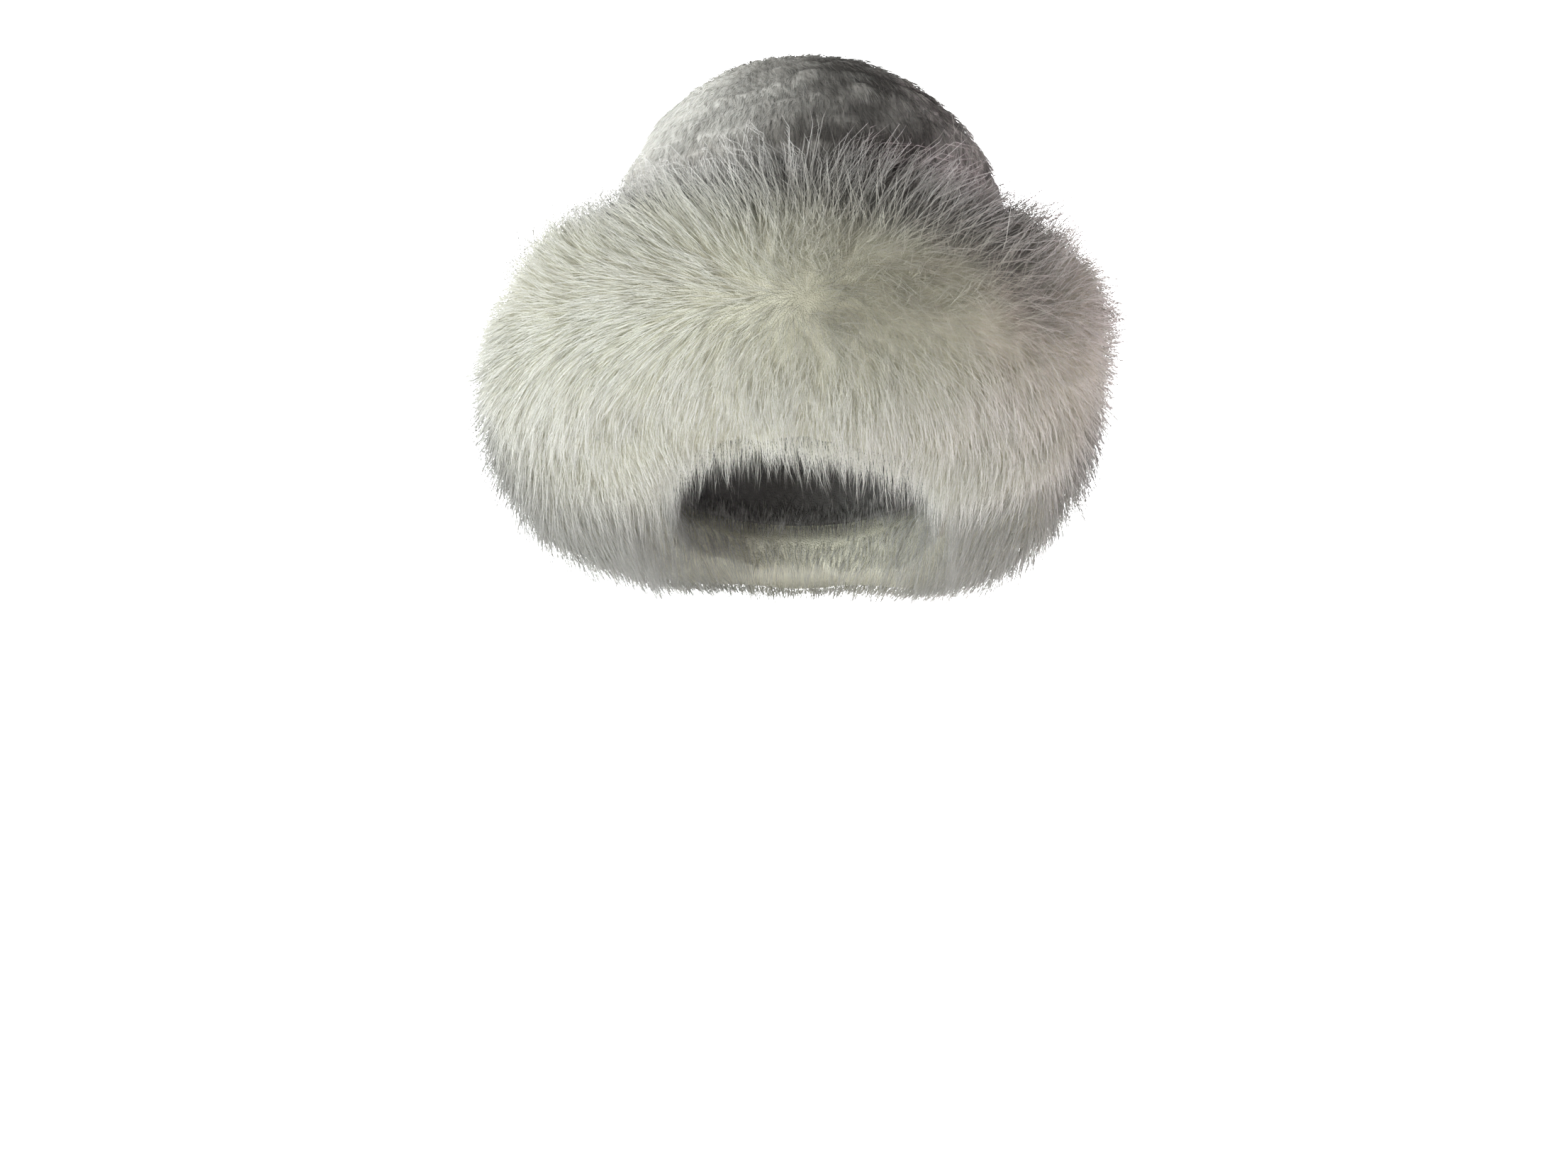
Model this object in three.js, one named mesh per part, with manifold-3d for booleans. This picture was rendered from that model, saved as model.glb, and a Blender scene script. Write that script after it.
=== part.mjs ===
// A winter hat: a soft crown of knitted fur, hollow to take the head, and round its lower half a deep
// brim of long fox fur. The hat is held as it is worn, tipped back so that the brim clears the brow and
// covers the nape. Millimetres, +Z up, +X to the wearer's left, the face towards -Y. The origin is the
// centre of the oval rim, where the hat sits on the head.
import * as THREE from "three";
import { mergeVertices } from "three/addons/utils/BufferGeometryUtils.js";
import Module from "manifold-3d";

const wasm = await Module();
wasm.setup();
const { degToRad, lerp, smoothstep } = THREE.MathUtils;
const TURN = 2 * Math.PI;

// ---- driving dimensions ----
const WORN_TILT = degToRad(15.5); // the rim's slope from brow to nape
const WALL = 6; // knitted fur, pile included
const FUR_GAP = 1.2; // air between the crown and the brim's backing
const FUR_NAP = 12; // from the packed underfur out to the tips of the guard hair

// The crown's outline: half the width and half the length of its oval at each height over the rim, and
// how far the soft cloth has slumped there, to the wearer's left and forward.
const CROWN_OUTLINE = [
  { height: 0, halfWidth: 83, halfLength: 105, toLeft: 0, forward: 0 },
  { height: 45, halfWidth: 87, halfLength: 108, toLeft: 0, forward: 1 },
  { height: 92, halfWidth: 98, halfLength: 114, toLeft: 2, forward: 4 },
  { height: 130, halfWidth: 107, halfLength: 117, toLeft: 3, forward: 8 },
  { height: 156, halfWidth: 105, halfLength: 113, toLeft: 5, forward: 12 },
  { height: 178, halfWidth: 94, halfLength: 103, toLeft: 6, forward: 15 },
  { height: 196, halfWidth: 79, halfLength: 88, toLeft: 3, forward: 18 },
  { height: 210, halfWidth: 60, halfLength: 68, toLeft: -3, forward: 20 },
  { height: 221, halfWidth: 34, halfLength: 38, toLeft: -11, forward: 22 },
  { height: 224, halfWidth: 0.01, halfLength: 0.01, toLeft: -12, forward: 22 },
];

// Knitting: rows of fur strips, each row a ring of lumps set half a lump round from the row below.
const KNIT = { rows: 12, from: 0.35, to: 0.96, lumps: 26, depth: 3 };

// Rings that the wall is lofted through, as shares of the way from rim to top: the plain stretch of the
// outside, which the brim hides, and the hollow, which starts just below the rim.
const PLAIN_SHARES = [0, 0.12, 0.24];
const HOLLOW_SHARES = [-0.06, 0, 0.16, 0.32, 0.46, 0.6, 0.73, 0.85, 0.95];
const HOLLOW_SIDES = 24;

// Hollows (negative) and swellings where the soft crown has settled.
const CROWN_DENTS = [
  { azimuth: 272, height: 200, depth: 5, spread: 13 },
  { azimuth: 285, height: 217, depth: -5, spread: 18 },
  { azimuth: 330, height: 188, depth: -4, spread: 26 },
  { azimuth: 25, height: 196, depth: 3, spread: 24 },
  { azimuth: 70, height: 212, depth: -3, spread: 20 },
  { azimuth: 190, height: 190, depth: -4, spread: 30 },
];

// The brim's form, section by section round the head. Azimuth 0 is the brow and 90 the wearer's left.
// reach: out from the rim; crest: height of the parting; rise and drop: above and below the parting;
// tuck: how far the hair below closes in under the rim; fullBelow: the section's squareness below the
// parting, where 2 is an oval and more is squarer.
const BRIM_SECTIONS = [
  { azimuth: 0, reach: 88, crest: 46, rise: 84, drop: 80, tuck: 1, fullBelow: 2.4 },
  { azimuth: 45, reach: 97, crest: 48, rise: 85, drop: 82, tuck: 5, fullBelow: 2.3 },
  { azimuth: 90, reach: 105, crest: 52, rise: 82, drop: 97, tuck: 8, fullBelow: 2 },
  { azimuth: 135, reach: 97, crest: 42, rise: 80, drop: 97, tuck: 5, fullBelow: 2.2 },
  { azimuth: 180, reach: 88, crest: 40, rise: 78, drop: 86, tuck: 1, fullBelow: 2.4 },
  { azimuth: 225, reach: 98, crest: 42, rise: 78, drop: 89, tuck: 5, fullBelow: 2.5 },
  { azimuth: 270, reach: 107, crest: 48, rise: 77, drop: 88, tuck: 8, fullBelow: 2.35 },
  { azimuth: 315, reach: 99, crest: 48, rise: 80, drop: 80, tuck: 5, fullBelow: 2.4 },
];
const BRIM_FULL_ABOVE = 2.15; // the same above the parting
const BRIM_TOP_FLARE = 18; // how far out the top of the brim stands, against the swelling crown
const BRIM_INNER_BULGE = 0.1; // share of the section's depth that swells in under the rim
const HEAD_CLEARANCE = { halfWidth: 74, halfLength: 97, depth: 80 }; // kept free of hair under the rim
const UNDERFUR = { sections: 30, angles: [-165, -125, -92, -60, -28, 4, 36, 68, 104, 150] };
const CROWN_CLEARANCE = { sides: 28, rings: 12, shareStep: 0.07 }; // the space kept round the crown

// Locks of guard hair in rows. Each row starts at one angle round the section, 0 at the parting, and
// its locks lie along the section by `sweep` to their points.
const LOCK_ROWS = [
  { angle: -118, sweep: -42, count: 20, width: 38 },
  { angle: -88, sweep: -54, count: 25, width: 38 },
  { angle: -57, sweep: -56, count: 27, width: 38 },
  { angle: -25, sweep: -56, count: 29, width: 38 },
  { angle: 8, sweep: -58, count: 31, width: 37 },
  { angle: -8, sweep: 58, count: 31, width: 37 },
  { angle: 26, sweep: 54, count: 29, width: 38 },
  { angle: 55, sweep: 48, count: 25, width: 36 },
];
const LOCK_THICKNESS = 12;
const LOCK_SWING = 12; // degrees that a lock at the side sweeps back round the head
// How far locks stray: shares of their pitch round the head and of their sweep, and degrees.
const LOCK_STRAY = { pitch: 0.4, sweep: 0.3, angle: 6, swing: 6, bend: 5 };
const LOCK_STEPS = 2;
const LOCK_EVENNESS = 0.8; // furrows shallower than this close where locks run together
const TRIM_EVENNESS = 0.25; // the same along the cut face against the crown

// ---- small tools ----
// A repeatable number from 0 to 1 for lock i of row j.
const scatter = (i, j) => {
  const s = Math.sin(i * 12.9898 + j * 78.233) * 43758.5453;
  return s - Math.floor(s);
};

// A table's column at any azimuth: a smooth periodic curve through its rows.
function sectionValue(column, azimuth) {
  const rows = BRIM_SECTIONS;
  const step = 360 / rows.length;
  const place = (((azimuth % 360) + 360) % 360) / step;
  const i = Math.floor(place);
  const t = place - i;
  const at = (k) => rows[(k + rows.length) % rows.length][column];
  const [a, b, c, d] = [at(i - 1), at(i), at(i + 1), at(i + 2)];
  return b + 0.5 * t * (c - a + t * (2 * a - 5 * b + 4 * c - d + t * (3 * (b - c) + d - a)));
}

const toSolid = (geometry) => {
  const merged = mergeVertices(geometry, 1e-4);
  return new wasm.Manifold(
    new wasm.Mesh({
      numProp: 3,
      vertProperties: new Float32Array(merged.attributes.position.array),
      triVerts: new Uint32Array(merged.index.array),
    }),
  );
};

const toGeometry = (solid) => {
  const mesh = solid.getMesh();
  const geometry = new THREE.BufferGeometry();
  const positions = new Float32Array(mesh.numVert * 3);
  for (let i = 0; i < mesh.numVert; i++) {
    positions.set(mesh.vertProperties.subarray(i * mesh.numProp, i * mesh.numProp + 3), i * 3);
  }
  geometry.setAttribute("position", new THREE.BufferAttribute(positions, 3));
  geometry.setIndex(new THREE.BufferAttribute(mesh.triVerts, 1));
  geometry.computeVertexNormals();
  return geometry;
};

// A skin through rings of points, each ring counter-clockwise seen from the last ring's side. Its ends
// close on the middle of their ring, or on each other when the rings run right round.
function loft(rings, { ringsClose = false } = {}) {
  const points = rings.flat();
  const sides = rings[0].length;
  const faces = [];
  const joins = ringsClose ? rings.length : rings.length - 1;
  for (let r = 0; r < joins; r++) {
    const low = r * sides;
    const high = ((r + 1) % rings.length) * sides;
    for (let s = 0; s < sides; s++) {
      const next = (s + 1) % sides;
      faces.push(low + s, low + next, high + next, low + s, high + next, high + s);
    }
  }
  if (!ringsClose) {
    const middle = (ring) => ring.reduce((sum, p) => sum.add(p), new THREE.Vector3()).divideScalar(sides);
    const first = points.push(middle(rings[0])) - 1;
    const last = points.push(middle(rings.at(-1))) - 1;
    const top = (rings.length - 1) * sides;
    for (let s = 0; s < sides; s++) {
      const next = (s + 1) % sides;
      faces.push(first, next, s, last, top + s, top + next);
    }
  }
  const geometry = new THREE.BufferGeometry().setFromPoints(points);
  geometry.setIndex(faces);
  return toSolid(geometry);
}

// The largest body, without loose scraps or sealed bubbles.
const mainBody = (solid) => solid.decompose().sort((a, b) => b.volume() - a.volume())[0];

const span = (count, fill) => Array.from({ length: count }, (_, i) => fill(i));

// ---- crown ----
const crownProfile = new THREE.CatmullRomCurve3(
  CROWN_OUTLINE.map((row) => new THREE.Vector3(row.halfWidth, row.halfLength, row.height)),
  false,
  "centripetal",
);
crownProfile.arcLengthDivisions = 400;

// A column of the outline at any height.
function outlineAt(column, height) {
  const above = Math.max(1, CROWN_OUTLINE.findIndex((row) => row.height >= height));
  const [low, high] = CROWN_OUTLINE.slice(above - 1, above + 1);
  return lerp(low[column], high[column], (height - low.height) / (high.height - low.height));
}

// The point of the crown at share u of the way from rim to top, out by `proud` along its normal.
function crownPoint(u, angle, proud) {
  const p = crownProfile.getPointAt(u);
  const along = crownProfile.getTangentAt(u);
  const outward = new THREE.Vector3(
    (along.z * Math.sin(angle) * p.y) / Math.max(p.x, p.y),
    (-along.z * Math.cos(angle) * p.x) / Math.max(p.x, p.y),
    -along.x,
  ).normalize();
  const height = Math.min(p.z, CROWN_OUTLINE.at(-1).height);
  return new THREE.Vector3(
    p.x * Math.sin(angle) + outlineAt("toLeft", height),
    -p.y * Math.cos(angle) - outlineAt("forward", height),
    p.z,
  ).addScaledVector(outward, proud);
}

function dentDepth(point) {
  return CROWN_DENTS.reduce((sum, dent) => {
    const angle = degToRad(dent.azimuth);
    const centre = new THREE.Vector3(
      outlineAt("halfWidth", dent.height) * Math.sin(angle) + outlineAt("toLeft", dent.height),
      -outlineAt("halfLength", dent.height) * Math.cos(angle) - outlineAt("forward", dent.height),
      dent.height,
    );
    return sum + dent.depth * Math.exp(-point.distanceToSquared(centre) / (2 * dent.spread ** 2));
  }, 0);
}

// Relief of the knitted rows: lumps along each row's ridge, which run together towards the top, and a
// groove between rows.
function knitRelief(u, row, angle, onRidge) {
  if (!onRidge) return -KNIT.depth / 2;
  const lump = Math.cos(KNIT.lumps * angle + (row % 2) * Math.PI);
  return KNIT.depth * (0.3 + 0.4 * lump * smoothstep(KNIT.to - u, 0, 0.2));
}

function makeCrown() {
  const sides = 2 * KNIT.lumps;
  const ring = (u, relief) =>
    span(sides, (s) => {
      const angle = (s / sides) * TURN;
      const proud = relief(angle) + dentDepth(crownPoint(u, angle, 0));
      return crownPoint(u, angle, proud);
    });
  const plain = PLAIN_SHARES.map((u) => ring(u, () => 0));
  const knitted = span(2 * KNIT.rows + 1, (i) => {
    const u = lerp(KNIT.from, KNIT.to, i / (2 * KNIT.rows));
    return ring(u, (angle) => knitRelief(u, Math.floor(i / 2), angle, i % 2 === 1));
  });
  const outside = loft([...plain, ...knitted]);

  const hollow = HOLLOW_SHARES.map((u) =>
    span(HOLLOW_SIDES, (s) => {
      const point = crownPoint(Math.max(u, 0), (s / HOLLOW_SIDES) * TURN, -WALL);
      return u < 0 ? point.setZ(-WALL) : point;
    }),
  );
  return outside.subtract(loft(hollow));
}

// ---- fox brim ----
// A point of the brim: azimuth round the head, angle round the section, depth under the hair tips.
function brimPoint(azimuth, angle, depth) {
  const a = degToRad(azimuth);
  const v = degToRad(angle);
  const { halfWidth, halfLength } = CROWN_OUTLINE[0];
  const outward = new THREE.Vector2(Math.sin(a) / halfWidth, -Math.cos(a) / halfLength).normalize();
  const upper = smoothstep(Math.sin(v), -0.6, 0.9);
  const root = lerp(-sectionValue("tuck", azimuth), BRIM_TOP_FLARE, upper);
  const power = 2 / (v > 0 ? BRIM_FULL_ABOVE : sectionValue("fullBelow", azimuth));
  const out = Math.sign(Math.cos(v)) * Math.abs(Math.cos(v)) ** power;
  const up = Math.sign(Math.sin(v)) * Math.abs(Math.sin(v)) ** power;
  const share = out < 0 ? BRIM_INNER_BULGE * out : out;
  const reach = root + (sectionValue("reach", azimuth) - root - depth) * share;
  const tall = sectionValue(up > 0 ? "rise" : "drop", azimuth) - depth;
  return new THREE.Vector3(
    halfWidth * Math.sin(a) + outward.x * reach,
    -halfLength * Math.cos(a) + outward.y * reach,
    sectionValue("crest", azimuth) + tall * up,
  );
}

function brimNormal(azimuth, angle) {
  return brimPoint(azimuth, angle, 0).sub(brimPoint(azimuth, angle, 10)).normalize();
}

// One lock: a three-sided blade that leaves the underfur and lies over to its point.
function makeLock(row, index, rowIndex) {
  const stray = (kind) => scatter(index, rowIndex + 40 * kind) - 0.5;
  const stagger = 0.5 * (rowIndex % 2);
  const azimuth = ((index + stagger + LOCK_STRAY.pitch * stray(0)) / row.count) * 360;
  const angle = row.angle + LOCK_STRAY.angle * stray(0);
  const sweep = row.sweep * (1 + LOCK_STRAY.sweep * stray(1));
  const swing = LOCK_SWING * Math.sin(degToRad(azimuth)) + LOCK_STRAY.swing * stray(2);
  const bend = LOCK_STRAY.bend * stray(3);
  const place = (t) => [azimuth + swing * t + bend * Math.sin(Math.PI * t), angle + sweep * t];
  const centre = (t) => brimPoint(...place(t), lerp(FUR_NAP + LOCK_THICKNESS / 2, 0, t ** 0.7));
  const rings = span(LOCK_STEPS, (k) => {
    const t = k / LOCK_STEPS;
    const here = centre(t);
    const along = centre(t + 0.05).sub(here).normalize();
    const across = new THREE.Vector3().crossVectors(along, brimNormal(...place(t))).normalize();
    const out = new THREE.Vector3().crossVectors(across, along);
    const half = (row.width / 2) * (1 - t ** 2);
    const thick = LOCK_THICKNESS * (1 - 0.6 * t);
    return [
      here.clone().addScaledVector(out, thick / 2),
      here.clone().addScaledVector(across, half).addScaledVector(out, -thick / 2),
      here.clone().addScaledVector(across, -half).addScaledVector(out, -thick / 2),
    ];
  });
  const tip = centre(1);
  rings.push(span(3, (k) => tip.clone().addScaledVector(rings.at(-1)[k].clone().sub(tip), 0.02)));
  return loft(rings);
}

// The packed underfur, a ring with its back against the crown.
function makeUnderfur() {
  const section = (azimuth) => UNDERFUR.angles.map((angle) => brimPoint(azimuth, angle, FUR_NAP)).reverse();
  const step = 360 / UNDERFUR.sections;
  return loft(span(UNDERFUR.sections, (s) => section(s * step)), { ringsClose: true });
}

// The space that stays free of fur: the crown with a gap round it, and the head's way in below.
function makeKeptSpace() {
  const { sides, rings, shareStep } = CROWN_CLEARANCE;
  const ring = (place) => span(sides, (s) => place((s / sides) * TURN));
  const { halfWidth, halfLength, depth } = HEAD_CLEARANCE;
  const head = (drop) =>
    ring((angle) => new THREE.Vector3(halfWidth * Math.sin(angle), -halfLength * Math.cos(angle), -drop));
  const proud = FUR_GAP + KNIT.depth;
  return loft([
    head(depth),
    head(FUR_GAP),
    ring((angle) => crownPoint(0, angle, proud).setZ(-FUR_GAP / 2)),
    ...span(rings, (i) => ring((angle) => crownPoint(shareStep * (i + 1), angle, proud))),
  ]);
}

function makeBrim() {
  const locks = LOCK_ROWS.flatMap((row, j) => span(row.count, (i) => makeLock(row, i, j)));
  const fur = locks.reduce((body, lock) => body.add(lock), makeUnderfur());
  const combed = fur.asOriginal().simplify(LOCK_EVENNESS);
  return mainBody(combed.subtract(makeKeptSpace()).asOriginal().simplify(TRIM_EVENNESS));
}

// ---- assembly ----
const knittedFur = new THREE.MeshStandardMaterial({ color: 0x9a9893, roughness: 0.95, metalness: 0 });
const foxFur = new THREE.MeshStandardMaterial({ color: 0xd2d3c4, roughness: 0.9, metalness: 0 });

function piece(name, solid, material) {
  const mesh = new THREE.Mesh(toGeometry(solid), material);
  mesh.name = name;
  return mesh;
}

const hat = new THREE.Group();
const worn = new THREE.Group();
worn.rotation.x = -WORN_TILT;
worn.add(piece("crown", makeCrown(), knittedFur));
worn.add(piece("fox_brim", makeBrim(), foxFur));
hat.add(worn);

export default hat;
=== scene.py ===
"""A fur-trimmed winter hat as it is worn: a soft crown in rows of knitted fur, and a deep rolled brim of
long fox fur that radiates from a whorl over the brow. Everything is in metres."""

import math

import bpy
import numpy as np
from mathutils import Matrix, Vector


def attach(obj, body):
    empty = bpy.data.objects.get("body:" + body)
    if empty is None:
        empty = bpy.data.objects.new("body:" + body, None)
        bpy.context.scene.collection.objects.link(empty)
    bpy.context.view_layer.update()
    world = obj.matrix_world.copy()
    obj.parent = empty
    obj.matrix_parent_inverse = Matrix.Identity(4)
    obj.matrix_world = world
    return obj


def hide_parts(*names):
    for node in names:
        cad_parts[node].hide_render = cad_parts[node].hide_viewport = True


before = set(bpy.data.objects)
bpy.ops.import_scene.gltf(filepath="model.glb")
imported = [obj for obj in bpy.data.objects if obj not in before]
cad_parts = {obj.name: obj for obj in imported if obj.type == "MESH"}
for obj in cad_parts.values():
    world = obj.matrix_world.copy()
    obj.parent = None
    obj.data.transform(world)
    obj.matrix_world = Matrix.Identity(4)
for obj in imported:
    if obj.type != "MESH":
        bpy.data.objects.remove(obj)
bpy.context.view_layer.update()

# ---- sizes, in metres and degrees unless a name says otherwise ----
WORN_TILT = math.radians(15.5)  # how far the hat tips back on the head
WALL = 0.006  # thickness of the knitted crown


def table(names, *rows):
    """A table with named columns, as one array of numbers per column."""
    return dict(zip(names, np.array(rows, float).T))


# The crown's oval at each height over the rim, and how far the soft cloth has slumped there.
CROWN = table(
    ("height", "half_width", "half_length", "to_left", "forward"),
    (0.000, 0.083, 0.105, 0.000, 0.000),
    (0.045, 0.087, 0.108, 0.000, 0.001),
    (0.092, 0.098, 0.114, 0.002, 0.004),
    (0.130, 0.107, 0.117, 0.003, 0.008),
    (0.156, 0.105, 0.113, 0.005, 0.012),
    (0.178, 0.094, 0.103, 0.006, 0.015),
    (0.196, 0.079, 0.088, 0.003, 0.018),
    (0.210, 0.060, 0.068, -0.003, 0.020),
    (0.221, 0.034, 0.038, -0.011, 0.022),
    (0.224, 0.00001, 0.00001, -0.012, 0.022),
)
# Hollows (negative) and swellings where the soft crown has settled.
DENTS = table(
    ("azimuth", "height", "depth", "spread"),
    (272, 0.200, 0.005, 0.013),
    (285, 0.217, -0.005, 0.018),
    (330, 0.188, -0.004, 0.026),
    (25, 0.196, 0.003, 0.024),
    (70, 0.212, -0.003, 0.020),
    (190, 0.190, -0.004, 0.030),
)
# Rows of the knitting, from one share of the way up the crown to another, and how proud they stand.
KNIT = {"rows": 12, "from": 0.35, "to": 0.96, "depth": 0.0017}

# The brim's section at each azimuth round the head, where 0 is the brow and 90 the wearer's left.
# reach: out from the rim; crest: height of the parting; rise and drop: above and below it; tuck: how
# far the fur closes in under the rim; full_below: squareness below the parting.
BRIM = table(
    ("azimuth", "reach", "crest", "rise", "drop", "tuck", "full_below"),
    (0, 0.088, 0.046, 0.084, 0.080, 0.001, 2.4),
    (45, 0.097, 0.048, 0.085, 0.082, 0.005, 2.3),
    (90, 0.105, 0.052, 0.082, 0.097, 0.008, 2.0),
    (135, 0.097, 0.042, 0.080, 0.097, 0.005, 2.2),
    (180, 0.088, 0.040, 0.078, 0.086, 0.001, 2.4),
    (225, 0.098, 0.042, 0.078, 0.089, 0.005, 2.5),
    (270, 0.107, 0.048, 0.077, 0.088, 0.008, 2.35),
    (315, 0.099, 0.048, 0.080, 0.080, 0.005, 2.4),
)
BRIM_FULL_ABOVE = 2.15  # squareness above the parting
BRIM_TOP_FLARE = 0.018  # how far the fur stays off the crown above the parting
BRIM_INNER_BULGE = 0.1  # how far the inside swells towards the head, as a share of the reach
HEAD = {"half_width": 0.078, "half_length": 0.101}  # the head's way in, kept open under the rim


# ---- forms ----
def ease(value, start, end):
    """0 before the start and 1 after the end, with a smooth step between."""
    t = np.clip((value - start) / (end - start), 0, 1)
    return t * t * (3 - 2 * t)


def fading(value, start, end):
    return 1 - ease(value, start, end)


def unit(vectors):
    return vectors / np.maximum(np.linalg.norm(vectors, axis=-1, keepdims=True), 1e-9)


def soft_noise(azimuth, angle, round_cells, section_cells, seed):
    """Smooth chance values from -1 to 1 over the brim, in so many cells each way, closed both ways."""
    cells = np.random.default_rng(seed).uniform(-1, 1, (round_cells, section_cells))
    a, b = (azimuth % 360) / 360 * round_cells, (angle % 360) / 360 * section_cells
    i, j = np.floor(a).astype(int), np.floor(b).astype(int)
    s, t = ease(a - i, 0, 1), ease(b - j, 0, 1)

    def at(di, dj):
        return cells[(i + di) % round_cells, (j + dj) % section_cells]

    low, high = at(0, 0) * (1 - s) + at(1, 0) * s, at(0, 1) * (1 - s) + at(1, 1) * s
    return low * (1 - t) + high * t


def as_worn(points):
    """Points of the level hat, tipped back about the middle of its rim."""
    x, y, z = np.moveaxis(points, -1, 0)
    c, s = math.cos(WORN_TILT), math.sin(WORN_TILT)
    return np.stack([x, y * c + z * s, z * c - y * s], -1)


def brim_value(column, azimuth):
    """A column of BRIM at any azimuth: a smooth closed curve through its rows."""
    values = BRIM[column]
    place = (azimuth % 360) / (360 / len(values))
    i = np.floor(place).astype(int)
    t = place - i
    a, b, c, d = (values[(i + k) % len(values)] for k in (-1, 0, 1, 2))
    return b + 0.5 * t * (c - a + t * (2 * a - 5 * b + 4 * c - d + t * (3 * (b - c) + d - a)))


def brim_points(azimuth, angle, depth):
    """Points of the level brim at an angle round its section, 0 at the parting, under its tips."""
    a, v = np.radians(azimuth), np.radians(angle)
    half_width, half_length = CROWN["half_width"][0], CROWN["half_length"][0]
    outward = unit(np.stack([np.sin(a) / half_width, -np.cos(a) / half_length], -1))
    upper = ease(np.sin(v), -0.6, 0.9)
    root = (1 - upper) * -brim_value("tuck", azimuth) + upper * BRIM_TOP_FLARE
    power = 2 / np.where(v > 0, BRIM_FULL_ABOVE, brim_value("full_below", azimuth))
    out = np.sign(np.cos(v)) * np.abs(np.cos(v)) ** power
    up = np.sign(np.sin(v)) * np.abs(np.sin(v)) ** power
    share = np.where(out < 0, BRIM_INNER_BULGE * out, out)
    reach = root + (brim_value("reach", azimuth) - root - depth) * share
    tall = np.where(up > 0, brim_value("rise", azimuth), brim_value("drop", azimuth)) - depth
    x = half_width * np.sin(a) + outward[..., 0] * reach
    y = -half_length * np.cos(a) + outward[..., 1] * reach
    return np.stack([x, y, brim_value("crest", azimuth) + tall * up], -1)


def crown_curve(steps=24):
    """The crown's profile as points (half width, half length, height), evenly smooth through CROWN."""
    p = np.stack([CROWN["half_width"], CROWN["half_length"], CROWN["height"]], -1)
    p = np.vstack([2 * p[0] - p[1], p, 2 * p[-1] - p[-2]])
    t = np.linspace(0, 1, steps, endpoint=False)[:, None]
    curve = []
    for a, b, c, d in zip(p, p[1:], p[2:], p[3:]):
        k0, k1, k2 = (math.sqrt(np.linalg.norm(y - x)) for x, y in ((a, b), (b, c), (c, d)))
        leave = k1 * ((b - a) / k0 - (c - a) / (k0 + k1)) + (c - b)
        arrive = k1 * ((d - c) / k2 - (d - b) / (k1 + k2)) + (c - b)
        bend = 3 * (c - b) - 2 * leave - arrive + t * (2 * (b - c) + leave + arrive)
        curve.append(b + t * (leave + t * bend))
    return np.vstack(curve + [p[-2:-1]])


CROWN_CURVE = crown_curve()
CROWN_SHARE = np.insert(np.cumsum(np.linalg.norm(np.diff(CROWN_CURVE, axis=0), axis=1)), 0, 0)
CROWN_SHARE /= CROWN_SHARE[-1]


def crown_at(height):
    return {name: np.interp(height, CROWN["height"], CROWN[name]) for name in CROWN}


def crown_points(share, azimuth, proud):
    """Points of the level crown at a share of the way from rim to top, out by `proud`."""
    a = np.radians(azimuth)

    def profile(s):
        return np.stack([np.interp(s, CROWN_SHARE, CROWN_CURVE[:, k]) for k in range(3)], -1)

    width, length, height = np.moveaxis(profile(share), -1, 0)
    d_width, _, d_height = np.moveaxis(profile(share + 0.01) - profile(share - 0.01), -1, 0)
    longest = np.maximum(width, length)
    out = [d_height * np.sin(a) * length / longest, -d_height * np.cos(a) * width / longest, -d_width]
    out = unit(np.stack(out, -1))
    at = crown_at(height)
    x, y = width * np.sin(a) + at["to_left"], -length * np.cos(a) - at["forward"]
    return np.stack([x, y, height], -1) + out * np.asarray(proud)[..., None]


def dent_depth(points):
    """How far the settled cloth stands out, or in where negative, at points of the level crown."""
    total = np.zeros(points.shape[:-1])
    for azimuth, height, depth, spread in zip(*DENTS.values()):
        a, at = math.radians(azimuth), crown_at(height)
        centre = (
            at["half_width"] * math.sin(a) + at["to_left"],
            -at["half_length"] * math.cos(a) - at["forward"],
            height,
        )
        total += depth * np.exp(-np.sum((points - centre) ** 2, -1) / (2 * spread**2))
    return total


# ---- meshes ----
def place_object(name, data):
    made = bpy.data.objects.new(name, data)
    bpy.context.scene.collection.objects.link(made)
    return made


def mesh_object(name, points, faces):
    mesh = bpy.data.meshes.new(name)
    mesh.from_pydata(points, [], faces, shade_flat=False)
    return place_object(name, mesh)


def grid_faces(rows, columns, rows_close):
    """Outward faces of a grid whose columns run right round, and whose rows do too if rows_close."""
    r, c = np.meshgrid(np.arange(rows if rows_close else rows - 1), np.arange(columns), indexing="ij")
    after, beside = (r + 1) % rows, (c + 1) % columns
    corners = (after * columns + c, after * columns + beside, r * columns + beside, r * columns + c)
    return np.stack(corners, -1).reshape(-1, 4)


def skin(name, grid, rows_close=False):
    """A closed mesh object over a grid of points; open rows end in a pole at their middle."""
    rows, columns = grid.shape[:2]
    points = grid.reshape(-1, 3)
    faces = grid_faces(rows, columns, rows_close).tolist()
    if not rows_close:
        points = np.vstack([points, grid[0].mean(0), grid[-1].mean(0)])
        first, last, foot = rows * columns, rows * columns + 1, (rows - 1) * columns
        for c in range(columns):
            beside = (c + 1) % columns
            faces.append((c, beside, first))
            faces.append((foot + beside, foot + c, last))
    return mesh_object(name, points.tolist(), faces)


def keep(piece, name, values):
    """Stores a grid of numbers or of vectors on a mesh by name; poles beyond the grid hold its mean."""
    values = np.asarray(values, float)
    kind, field, width = ("FLOAT_VECTOR", "vector", 3) if values.ndim == 3 else ("FLOAT", "value", 1)
    values = values.reshape(-1, width)
    poles = len(piece.data.vertices) - len(values)
    values = np.vstack([values, np.repeat(values.mean(0)[None], poles, 0)])
    piece.data.attributes.new(name, kind, "POINT").data.foreach_set(field, values.ravel())


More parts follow.
